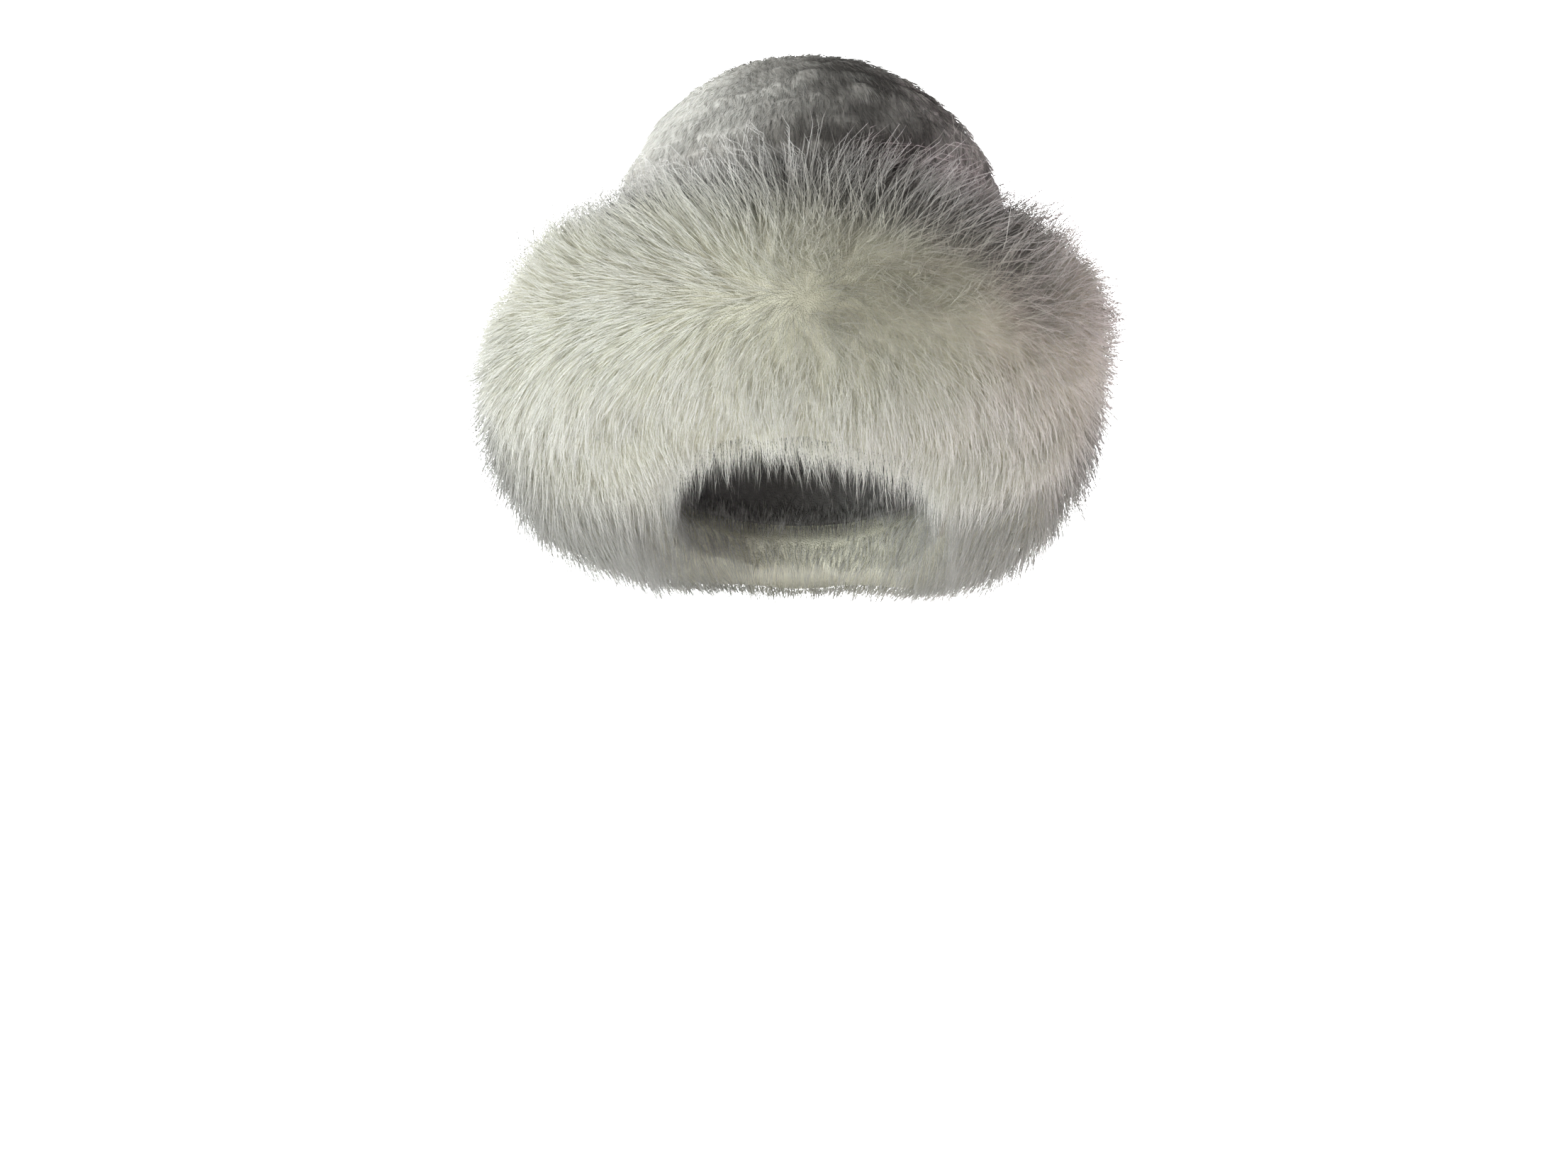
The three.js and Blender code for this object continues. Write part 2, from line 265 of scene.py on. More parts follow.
def keep_panels(piece, panels):
    """Stores for each face of a skin the number of its panel."""
    panels = np.asarray(panels, int).ravel()
    piece.data.attributes.new("panel", "INT", "FACE").data.foreach_set("value", panels)


# ---- node trees ----
class Nodes:
    """A node tree being written. Each call adds one node and gives back its output."""

    def __init__(self, tree):
        self.tree = tree

    def add(self, kind, inputs=None, out=0, **fields):
        node = self.tree.nodes.new(kind)
        for name, value in fields.items():
            setattr(node, name, value)
        for key, value in (inputs or {}).items():
            if isinstance(key, int):
                socket = node.inputs[key]
            else:
                socket = next(s for s in node.inputs if s.name == key and s.enabled)
            if isinstance(value, bpy.types.NodeSocket):
                self.tree.links.new(value, socket)
            else:
                socket.default_value = value
        return node.outputs[out]

    def math(self, operation, *values):
        return self.add("ShaderNodeMath", dict(enumerate(values)), operation=operation)

    def vector(self, operation, *values):
        return self.add("ShaderNodeVectorMath", dict(enumerate(values)), operation=operation)

    def scale(self, vector, factor):
        return self.add("ShaderNodeVectorMath", {0: vector, "Scale": factor}, operation="SCALE")

    def chain(self, step, operation, values):
        result = values[0]
        for value in values[1:]:
            result = step(operation, result, value)
        return result

    def total(self, *values):
        return self.chain(self.math, "ADD", values)

    def product(self, *values):
        return self.chain(self.math, "MULTIPLY", values)

    def line(self, value, slope, start):
        return self.math("MULTIPLY_ADD", value, slope, start)

    def less(self, value, other):
        return self.math("SUBTRACT", value, other)

    def sum(self, *vectors):
        return self.chain(self.vector, "ADD", vectors)

    def part(self, vector, out):
        return self.add("ShaderNodeSeparateXYZ", {0: vector}, out=out)

    def noise(self, place, scale, detail):
        return self.add("ShaderNodeTexNoise", {"Vector": place, "Scale": scale, "Detail": detail})

    def ramp(self, value, start, end, low=0.0, high=1.0):
        return self.add("ShaderNodeMapRange", {0: value, 1: start, 2: end, 3: low, 4: high})

    def attribute(self, name, kind="FLOAT"):
        return self.add("GeometryNodeInputNamedAttribute", {"Name": name}, data_type=kind)

    def way(self, name):
        return self.attribute(name, "FLOAT_VECTOR")

    def store(self, geometry, name, value, kind="FLOAT"):
        inputs = {"Geometry": geometry, "Name": name, "Value": value}
        return self.add("GeometryNodeStoreNamedAttribute", inputs, data_type=kind, domain="POINT")

    def store_way(self, geometry, name, value):
        return self.store(geometry, name, value, "FLOAT_VECTOR")

    def random(self, low, high, seed):
        inputs = {"Min": low, "Max": high, "Seed": seed}
        return self.add("FunctionNodeRandomValue", inputs, out=1, data_type="FLOAT")

    def stored(self, name, out=2):
        """For a material: what the mesh holds under a name."""
        return self.add("ShaderNodeAttribute", out=out, attribute_name=name)

    def mix(self, share, a, b, blend="MIX"):
        inputs = {"Factor": share, "A": a, "B": b}
        return self.add("ShaderNodeMix", inputs, out=2, data_type="RGBA", blend_type=blend)

    def link(self, value, socket):
        self.tree.links.new(value, socket)


def node_group(name, inputs, outputs):
    """A new Geometry Nodes group with sockets by kind: its writer, its inputs by name and its end."""
    tree = bpy.data.node_groups.new(name, "GeometryNodeTree")
    for in_out, sockets in (("INPUT", inputs), ("OUTPUT", outputs)):
        for kind, names in sockets.items():
            for socket in names:
                tree.interface.new_socket(socket, in_out=in_out, socket_type="NodeSocket" + kind)
    start = tree.nodes.new("NodeGroupInput")
    end = tree.nodes.new("NodeGroupOutput")
    return Nodes(tree), {s.name: s for s in start.outputs if s.name}, end


def make_strand_path():
    """Group: the place along one hair. It leaves the skin at an angle, lies over and waves a little."""
    nodes, given, end = node_group(
        "Strand path",
        {
            "Vector": ["Root", "Rise", "Comb"],
            "Float": ["Along", "Length", "Lift", "Settle", "Wave", "Waves", "Phase", "Droop"],
        },
        {"Vector": ["Place"]},
    )
    along, lift = given["Along"], given["Lift"]
    turn = nodes.product(lift, given["Settle"], -1.0)
    now = nodes.line(turn, along, lift)
    cosine, sine = nodes.math("COSINE", lift), nodes.math("SINE", lift)
    rise = nodes.math("DIVIDE", nodes.less(cosine, nodes.math("COSINE", now)), turn)
    reach = nodes.math("DIVIDE", nodes.less(nodes.math("SINE", now), sine), turn)
    side = nodes.vector("CROSS_PRODUCT", given["Rise"], given["Comb"])
    cycles = nodes.line(along, given["Waves"], given["Phase"])
    swing = nodes.math("SINE", nodes.product(cycles, 2 * math.pi))
    swing = nodes.product(swing, given["Wave"], along)
    fall = nodes.product(nodes.math("POWER", along, 2.0), given["Droop"])
    down = nodes.add("ShaderNodeCombineXYZ", {"Z": nodes.product(fall, -1.0)})
    hair = nodes.sum(
        nodes.scale(given["Rise"], rise),
        nodes.scale(given["Comb"], reach),
        nodes.scale(side, swing),
        down,
    )
    place = nodes.sum(given["Root"], nodes.scale(hair, given["Length"]))
    nodes.link(place, end.inputs["Place"])
    return nodes.tree


HAIR_KINDS = ("wool", "guard", "flyaway", "nap")
# What the fur tree is given for each kind. Lengths are shares of the skin's own, lifts are in degrees.
HAIR_SETTINGS = {
    "Wisps per m2": (22000, 22000, 22000, 60000),
    "Length": (0.66, 1, 0.82, 1),
    "Length spread": (0.6, 0.55, 0.55, 0.45),
    "Width": (0.00034, 0.00026, 0.00024, 0.00038),
    "Lift": (24, 25, 36, 19),
    "Lift spread": (16, 18, 18, 15),
    "Most lift": (62, 46, 54, 60),
    "Stand": (0.4, 1, 1, 0),
    "Settle": (1.25, 1.25, 0.85, 1.1),
    "Swirl": (1.2, 1.4, 1.4, 1),
    "Swirl size": (0.035, 0.035, 0.035, 0.02),
    "Stray": (1.6, 1.6, 4, 1.2),
    "Clump": (0.3, 0.95, 0.35, 0.3),
    "Wave": (0.03, 0.05, 0.06, 0),
    "Waves": (1, 1.2, 1, 1),
    "Droop": (0.03, 0.1, 0.05, 0),
    "Silver length": (0.5, 1.25, 1, 1),
    "Silver width": (1, 1.7, 1, 1),
}
HAIR_COUNTS, HAIR_SEEDS = (64000, 24000, 14000, 27000), (11, 23, 31, 41)
# What is the same in all the fur.
LEAST_LIFT = 0.03
TANGLE = {"finer": 3.5, "curl": 8.0, "wave": 7.0, "waves": 1.2}  # what a full tangle adds
STANDING_SETTLES_LESS = 0.7
STRAYS = {"share": 0.25, "drawn": 0.25}  # this share of the hairs is drawn to its wisp by less


def make_fur_tree():
    """Group: hairs scattered on one panel of a skin, combed with a slow swirl and drawn into wisps."""
    nodes, given, end = node_group(
        "Grow fur",
        {
            "Geometry": ["Skin"],
            "Object": ["Hair"],
            "Material": ["Material"],
            "Int": ["Panel", "Seed"],
            "Float": ["Hairs per m2", *HAIR_SETTINGS],
        },
        {"Geometry": ["Fur"]},
    )
    path_tree = make_strand_path()
    position = nodes.add("GeometryNodeInputPosition")
    noise_scale = nodes.math("DIVIDE", 1.0, given["Swirl size"])

    def scatter(density, seed_step):
        node = nodes.tree.nodes.new("GeometryNodeDistributePointsOnFaces")
        nodes.link(given["Skin"], node.inputs["Mesh"])
        nodes.link(nodes.product(density, nodes.attribute("fur_density")), node.inputs["Density"])
        nodes.link(nodes.total(given["Seed"], seed_step), node.inputs["Seed"])
        return node.outputs["Points"], node.outputs["Normal"]

    def combed(points, normal):
        """Points with the attributes rise and comb, the comb turned by a slow swirl over the skin."""
        slow = nodes.noise(position, noise_scale, 1.0)
        fine = nodes.noise(position, nodes.product(noise_scale, TANGLE["finer"]), 2.0)
        curl = nodes.product(nodes.less(fine, 0.5), nodes.attribute("fur_tangle"))
        swirl = nodes.line(curl, TANGLE["curl"], nodes.less(slow, 0.5))
        swirl = nodes.product(swirl, given["Swirl"])
        flat = nodes.way("comb")
        side = nodes.vector("CROSS_PRODUCT", normal, flat)
        turned = nodes.vector("NORMALIZE", nodes.sum(flat, nodes.scale(side, swirl)))
        points = nodes.store_way(points, "rise", normal)
        return nodes.store_way(points, "comb", turned)

    wisps = combed(*scatter(given["Wisps per m2"], 1.0))
    hairs = combed(*scatter(given["Hairs per m2"], 0.0))
    inputs = {"A": nodes.attribute("panel", "INT"), "B": given["Panel"]}
    elsewhere = nodes.add("FunctionNodeCompare", inputs, data_type="INT", operation="NOT_EQUAL")
    hairs = nodes.add("GeometryNodeDeleteGeometry", {"Geometry": hairs, "Selection": elsewhere})

    nearest = nodes.add("GeometryNodeSampleNearest", {"Geometry": wisps, "Sample Position": position})

    def from_wisp(value, kind="FLOAT_VECTOR"):
        inputs = {"Geometry": wisps, "Value": value, "Index": nearest}
        return nodes.add("GeometryNodeSampleIndex", inputs, data_type=kind)

    hairs = nodes.store_way(hairs, "grow_root", position)
    for name, way in (("root", position), ("rise", nodes.way("rise")), ("comb", nodes.way("comb"))):
        hairs = nodes.store_way(hairs, "grow_wisp_" + name, from_wisp(way))
    hairs = nodes.store(hairs, "wisp_random", from_wisp(nodes.random(0.0, 1.0, 5), "FLOAT"))
    hairs = nodes.store(hairs, "strand_random", nodes.random(0.0, 1.0, 7))

    def where_silver(setting):
        """A setting of the silver fur as a factor: 1 where the fur is cream."""
        return nodes.line(nodes.less(given[setting], 1.0), nodes.attribute("fur_grey"), 1.0)

    spread = nodes.random(nodes.less(1.0, given["Length spread"]), 1.0, 8)
    length = nodes.product(nodes.attribute("fur_length"), given["Length"], where_silver("Silver length"))
    hairs = nodes.store(hairs, "grow_length", nodes.product(length, spread))
    strayed = nodes.product(nodes.random(-1.0, 1.0, 9), given["Stray"], nodes.attribute("fur_tangle"))
    comb = nodes.way("comb")
    side = nodes.vector("CROSS_PRODUCT", nodes.way("rise"), comb)
    own_comb = nodes.vector("NORMALIZE", nodes.sum(comb, nodes.scale(side, strayed)))
    hairs = nodes.store_way(hairs, "grow_comb", own_comb)
    lift_spread = nodes.product(nodes.random(-1.0, 1.0, 10), given["Lift spread"])
    stand = nodes.product(nodes.attribute("fur_stand"), given["Stand"])
    more = nodes.product(nodes.attribute("fur_lift"), nodes.total(stand, 1.0))
    lift = nodes.product(more, nodes.total(given["Lift"], lift_spread))
    lift = nodes.math("MINIMUM", nodes.math("MAXIMUM", lift, LEAST_LIFT), given["Most lift"])
    hairs = nodes.store(hairs, "grow_lift", lift)

    hair = nodes.add("GeometryNodeObjectInfo", {"Object": given["Hair"]}, out=4)
    fur = nodes.add("GeometryNodeInstanceOnPoints", {"Points": hairs, "Instance": hair})
    fur = nodes.add("GeometryNodeRealizeInstances", {"Geometry": fur})

    along = nodes.attribute("strand_along")
    random = nodes.attribute("strand_random")
    root = nodes.way("grow_root")
    tangle = nodes.attribute("fur_tangle")
    less = nodes.line(stand, -STANDING_SETTLES_LESS, 1.0)
    common = {
        "Along": along,
        "Length": nodes.attribute("grow_length"),
        "Lift": nodes.attribute("grow_lift"),
        "Settle": nodes.product(given["Settle"], less),
        "Waves": nodes.line(tangle, TANGLE["waves"], given["Waves"]),
        "Droop": given["Droop"],
    }
    wave = nodes.product(given["Wave"], nodes.line(tangle, TANGLE["wave"], 1.0))

    def path(root, rise, comb, wave, phase):
        own = {"Root": root, "Rise": rise, "Comb": comb, "Wave": wave, "Phase": phase}
        return nodes.add("GeometryNodeGroup", {**common, **own}, node_tree=path_tree)

    rise, comb = nodes.way("rise"), nodes.way("grow_comb")
    own = path(root, rise, comb, nodes.product(wave, 0.5), random)
    wisp_ways = (nodes.way("grow_wisp_" + name) for name in ("root", "rise", "comb"))
    wisp = path(*wisp_ways, wave, nodes.attribute("wisp_random"))
    loose = nodes.ramp(random, 0.0, STRAYS["share"], STRAYS["drawn"], 1.0)
    drawn = nodes.product(nodes.math("POWER", along, 1.4), given["Clump"], loose)
    drawn = nodes.product(drawn, nodes.attribute("fur_wisps"))
    inputs = {"Factor": drawn, "A": own, "B": wisp}
    middle = nodes.add("ShaderNodeMix", inputs, out=1, data_type="VECTOR")
    local = nodes.vector("SUBTRACT", position, root)
    side = nodes.vector("CROSS_PRODUCT", rise, comb)
    ring = nodes.sum(nodes.scale(side, nodes.part(local, 0)), nodes.scale(rise, nodes.part(local, 1)))
    width = nodes.product(given["Width"], where_silver("Silver width"))
    place = nodes.sum(middle, nodes.scale(ring, width))
    fur = nodes.add("GeometryNodeSetPosition", {"Geometry": fur, "Position": place})
    for scrap, mode in (("grow_*", "WILDCARD"), ("rise", "EXACT"), ("comb", "EXACT")):
        fur = nodes.add("GeometryNodeRemoveAttribute", {"Geometry": fur, "Name": scrap}, pattern_mode=mode)
    fur = nodes.add("GeometryNodeSetMaterial", {"Geometry": fur, "Material": given["Material"]})
    nodes.link(fur, end.inputs["Fur"])
    return nodes.tree


def make_hair(name, shares):
    """One hair for the fur to copy: a three-sided closed spindle, 1 wide, with its rings at `shares`.

    Its vertices carry how far along the hair they are. Only its x and y are sizes.
    """
    points, along, faces = [(0, 0, 0)], [0], []
    for share, thick in shares:
        for k in range(3):
            turn = 2 * math.pi * k / 3
            points.append((math.cos(turn) * thick / 2, math.sin(turn) * thick / 2, 0))
            along.append(share)
    points.append((0, 0, 0))
    along.append(1)
    tip = len(points) - 1
    for k in range(3):
        beside = (k + 1) % 3
        faces.append((0, 1 + beside, 1 + k))
        for ring in range(1, tip - 3, 3):
            faces.append((ring + k, ring + beside, ring + 3 + beside, ring + 3 + k))
        faces.append((tip - 3 + k, tip - 3 + beside, tip))
    hair = mesh_object(name, points, faces)
    keep(hair, "strand_along", along)
    return hair


def skin_area(piece):
    """Area of a skin in m2, each face counted by its share of hairs."""
    mesh = piece.data
    density = np.zeros(len(mesh.vertices))
    mesh.attributes["fur_density"].data.foreach_get("value", density)
    return sum(face.area * density[list(face.vertices)].mean() for face in mesh.polygons)


def grow(name, skin_piece, settings, panel=0):
    """Runs the fur tree on a panel of a skin and gives its result as a plain mesh piece."""
    base = place_object(name + "_grown", skin_piece.data)
    modifier = base.modifiers.new("fur", "NODES")
    modifier.node_group = FUR_TREE
    given = {**settings, "Panel": panel}
    for socket in FUR_TREE.interface.items_tree:
        if socket.in_out == "INPUT" and socket.name in given:
            modifier[socket.identifier] = given[socket.name]
    bpy.context.view_layer.update()
    grown = base.evaluated_get(bpy.context.evaluated_depsgraph_get())
    mesh = bpy.data.meshes.new_from_object(grown)
    mesh.name = name
    bpy.data.objects.remove(base)
    return place_object(name, mesh)


# ---- materials ----
def material(name, roughness, specular=0.5):
    """A plain material: itself, the writer of its nodes and the inputs of its shader."""
    made = bpy.data.materials.new(name)
    made.use_nodes = True
    inputs = made.node_tree.nodes["Principled BSDF"].inputs
    inputs["Roughness"].default_value = roughness
    inputs["Specular IOR Level"].default_value = specular
    return made, Nodes(made.node_tree), inputs


TANGLED = (0.6, 0.585, 0.47, 1)  # the woolly fur of the whorl
TANGLED_ROOT = (0.5, 0.487, 0.385, 1)
PAINTED_SHADE_GREY = (0.22, 0.22, 0.218, 1)  # painted shade on the hair tips over the ears and in the middle of the whorl
WISP_SHADE = (0.3, 0.29, 0.27, 1)  # what the darker wisps lean to
PLAIN_SHADE, TANGLED_SHADE = 0.05, 0.35  # how far they do


def fur_material(name, roughness, root, tip, silver_root, silver_tip):
    """Hair that pales from its root to its tip, in wisps that differ a little; painted shade greys its tips
    over the ears and in the whorl's middle.
    """
    made, nodes, inputs = material(name, roughness, 0.2)
    names = ("strand_along", "wisp_random", "strand_random", "fur_tangle", "fur_grey")
    along, wisp, strand, tangle, silver = (nodes.stored(name) for name in names)
    low = nodes.mix(silver, root, silver_root)
    bright = nodes.mix(nodes.ramp(wisp, 0.35, 0.55, 0.15, 1.0), silver_root, silver_tip)
    high = nodes.mix(silver, tip, bright)
    low = nodes.mix(nodes.ramp(tangle, 0.35, 0.85, 0.0, 0.85), low, TANGLED_ROOT)
    colour = nodes.mix(nodes.ramp(along, 0.05, 0.6), low, high)
    colour = nodes.mix(nodes.ramp(tangle, 0.15, 0.8, 0.0, 0.7), colour, TANGLED)
    # painted shade: the tips turn grey over the ears and in the whorl's middle
    painted_shade = nodes.product(nodes.stored("fur_painted_shade"), nodes.ramp(along, 0.0, 0.7, 0.3, 1.0))
    colour = nodes.mix(painted_shade, colour, PAINTED_SHADE_GREY)
    shade = nodes.line(wisp, 0.6, nodes.product(strand, 0.4))
    most = nodes.line(nodes.ramp(tangle, 0.2, 0.8), TANGLED_SHADE, PLAIN_SHADE)
    shade = nodes.product(nodes.ramp(shade, 0.15, 0.85, 1.0, 0.0), most)
    nodes.link(nodes.mix(shade, colour, WISP_SHADE), inputs["Base Color"])
    return made


def underfur_material(name, cream, silver):
    """Packed short fur under the long hairs: mottled, with a fine woolly bump."""
    made, nodes, inputs = material(name, 0.95, 0.1)
    place = nodes.add("ShaderNodeTexCoord", out=3)
    cloud = nodes.noise(place, 90.0, 3.0)
    colour = nodes.mix(nodes.stored("fur_grey"), cream, silver)
    dim = nodes.mix(1.0, colour, (0.9, 0.895, 0.87, 1), "MULTIPLY")
    colour = nodes.mix(nodes.ramp(cloud, 0.35, 0.65), dim, colour)
    tangled = nodes.ramp(nodes.stored("fur_tangle"), 0.35, 0.85, 0.0, 0.9)
    nodes.link(nodes.mix(tangled, colour, TANGLED_ROOT), inputs["Base Color"])
    relief = nodes.add("ShaderNodeBump", {"Height": nodes.noise(place, 1100.0, 2.0), "Distance": 0.001})
    nodes.link(relief, inputs["Normal"])
    return made


# ---- fox brim ----
FOX_PANELS = 3
BRIM_SECTIONS = 180
BRIM_STEPS = 64
# Depth of the packed underfur below the tips: outside, on top, on the flanks, where the fur stands out,
# and along the lower edge, where it hangs free.
UNDERFUR_DEPTH = {"outside": 0.014, "top": 0.009, "flank": 0.021, "edge": 0.019}
# How much deeper it lies in some places, or less deep where negative; left and right are the wearer's.
DEEPER = dict(
    left_low=0.003, left_shoulder=-0.011, flank_corner=-0.013,
    right_edge=0.003, right_shoulder=-0.006, right_side=-0.003,
)
# The angle at which the fur parts, at the brow and behind, and over how much it turns from up to down;
# how far from the brow it leans back fully and no longer does, how much, and how it curls in the whorl.
PARTING = {"brow": -7, "behind": 55, "soft": 26}
FLOW = {"away_from": 34, "nape": (115, 175), "sideways": 1.15, "curl": 1.4}
# Length of the fur in places, by what share it is shorter in others, and how much it varies.
FUR_LENGTH = dict(front=0.054, side=0.044, whorl=0.03, top=0.062, fringe=0.036, edge=0.035, inside=0.024)
SHORTER = {"over_ears": 0.36, "fringe_right": 0.3, "left_side": 0.07, "nape": 0.2}
LENGTH_CHANCE, LIFT_CHANCE = 0.16, 0.28
# The tangle of the whorl reaches further to the wearer's left; its middle is small.
WHORL = {"azimuth": 8, "above": 2, "left": 34, "right": 14, "tall": 21}
WHORL_MIDDLE = {"azimuth": 2, "above": 0, "left": 7, "right": 7, "tall": 9}
# Where silver begins on the way up: lower on the wearer's left, unevenly, with a dip over the left brow.
# Beginning lower on the wearer's left and in the dip is painted shade on the side away from the key lamp.
SILVER = {"start": 15, "left_lower_painted_shade": 19, "uneven": 7, "soft": 30}
SILVER_PAINTED_SHADE_DIP = {"azimuth": 42, "wide": 26, "deep": 18}


def signed(azimuth):
    return (azimuth + 180) % 360 - 180


def bump(distance, width):
    return np.exp(-((distance / width) ** 2))


def flank_share(azimuth):
    """1 on the flanks over the ears, less at the nape and 0 at the front."""
    theta = np.abs(signed(azimuth))
    return ease(theta, 58, 92) * (1 - 0.75 * ease(theta, 105, 150))


def underfur_depth(azimuth, angle):
    size, flank = UNDERFUR_DEPTH, flank_share(azimuth) * fading(angle, 35, 75)
    side = np.sin(np.radians(azimuth))
    left, right = ease(side, 0.5, 1), ease(-side, 0.5, 1)
    corner, shoulder = bump(angle + 58, 22), bump(angle - 35, 18)
    depth = size["outside"] + (size["flank"] - size["outside"]) * flank
    depth += (size["top"] - depth) * ease(angle, 40, 80)
    depth += DEEPER["left_low"] * left * fading(angle, 0, 30) * (1 - corner)
    depth += DEEPER["right_side"] * right * (1 - corner)
    depth += DEEPER["left_shoulder"] * left * shoulder
    depth += DEEPER["right_shoulder"] * ease(-side, 0.4, 0.9) * ease(angle, 30, 60)
    depth += DEEPER["flank_corner"] * flank * corner
    bottom = size["edge"] + DEEPER["right_edge"] * ease(-side, 0.2, 0.8)
    return depth + (bottom - depth) * ease(-angle, 70, 95)


def underfur_points(azimuth, angle):
    uneven = 0.0028 * soft_noise(azimuth, angle, 22, 11, 3) + 0.0018 * soft_noise(azimuth, angle, 47, 19, 4)
    return clear_of_head(brim_points(azimuth, angle, underfur_depth(azimuth, angle) + uneven))


def clear_of_head(points, gap=0.0035):
    """Points of the level brim, pushed outwards where they would be in the crown or in the head's way."""
    x, y, z = np.moveaxis(points, -1, 0)
    at = crown_at(z)
    below = fading(z, -0.012, 0.0)
    half_width, half_length = (at[k] + gap + (size - at[k] - gap) * below for k, size in HEAD.items())
    dx, dy = x - at["to_left"], y + at["forward"]
    share = np.maximum(np.hypot(dx / half_width, dy / half_length), 0.2)
    push = np.maximum(1 / share, 1)
    return np.stack([at["to_left"] + dx * push, dy * push - at["forward"], z], -1)


def fox_comb(azimuth, angle):
    """Which way the fur lies on the level brim: away from the whorl over the brow, then down."""
    step = 0.5
    up = unit(underfur_points(azimuth, angle + step) - underfur_points(azimuth, angle - step))
    around = unit(underfur_points(azimuth + step, angle) - underfur_points(azimuth - step, angle))
    theta = signed(azimuth)
    off_brow = np.abs(theta)
    behind = ease(off_brow, 85, 130)
    above = angle - PARTING["brow"] - (PARTING["behind"] - PARTING["brow"]) * behind
    lift = np.clip(above / PARTING["soft"], -1, 1)
    lift *= 1 - 0.5 * ease(off_brow, 30, 75) * fading(off_brow, 110, 150)
    lift = lift + 1.7 * ease(-angle, 68, 118)
    away = np.clip(theta / FLOW["away_from"], -1, 1) * fading(off_brow, *FLOW["nape"])
    fade = np.where(above > 0, 1 - 0.5 * ease(above, 25, 100), 1 - 0.75 * ease(-above, 25, 95))
    across = FLOW["sideways"] * away * fade
    curl = FLOW["curl"] * whorl_share(azimuth, angle) * soft_noise(azimuth, angle, 110, 44, 8)
    lift, across = lift * np.cos(curl) - across * np.sin(curl), lift * np.sin(curl) + across * np.cos(curl)
    flow = up * lift[..., None] + around * across[..., None]
    flow = as_worn(flow)
    flow[..., 2] -= 0.15 * ease(-angle, 0, 60) + 0.8 * ease(-angle, 60, 90)
    return unit(flow)


def fur_length(azimuth, angle):
    theta, size = np.abs(signed(azimuth)), FUR_LENGTH
    length = size["front"] + (size["side"] - size["front"]) * ease(theta, 20, 80)
    top = size["top"] * (1 - SHORTER["over_ears"] * ease(theta, 55, 100))
    length += (top - length) * ease(angle, 10, 60)
    fringe = size["fringe"] * (1 - SHORTER["fringe_right"] * bump(signed(azimuth) + 22, 18))
    edge = fringe + (size["edge"] - fringe) * ease(theta, 35, 80)
    length += (edge - length) * ease(-angle, 15, 65)
    length += (size["inside"] - length) * ease(-angle, 75, 105)
    length += (size["whorl"] - length) * whorl_share(azimuth, angle)
    length *= 1 - SHORTER["left_side"] * np.sin(np.radians(azimuth)) * ease(theta, 40, 80)
    length *= 1 - SHORTER["nape"] * ease(theta, 115, 155)
    return length * (1 + LENGTH_CHANCE * soft_noise(azimuth, angle, 31, 13, 5))


def whorl_share(azimuth, angle, at=WHORL):
    """1 in the middle of the tangled whorl over the brow, and 0 away from it."""
    theta = signed(azimuth - at["azimuth"])
    wide = np.where(theta > 0, at["left"], at["right"])
    return np.exp(-((theta / wide) ** 2) - ((angle - PARTING["brow"] - at["above"]) / at["tall"]) ** 2)


def silver_share(azimuth, angle):
    left = np.sin(np.radians(azimuth))
    # painted shade: silver begins lower on the wearer's left and in the dip over the left brow, away from
    # the key lamp
    start = SILVER["start"] - SILVER["left_lower_painted_shade"] * left
    start = start + SILVER["uneven"] * soft_noise(azimuth, angle, 29, 8, 7)
    start -= SILVER_PAINTED_SHADE_DIP["deep"] * bump(signed(azimuth - SILVER_PAINTED_SHADE_DIP["azimuth"]), SILVER_PAINTED_SHADE_DIP["wide"])
    share = ease(angle - start, 0, SILVER["soft"]) * (1 - 0.65 * ease(left, 0.62, 0.9))
    return np.maximum(share, 0.3 * flank_share(azimuth))


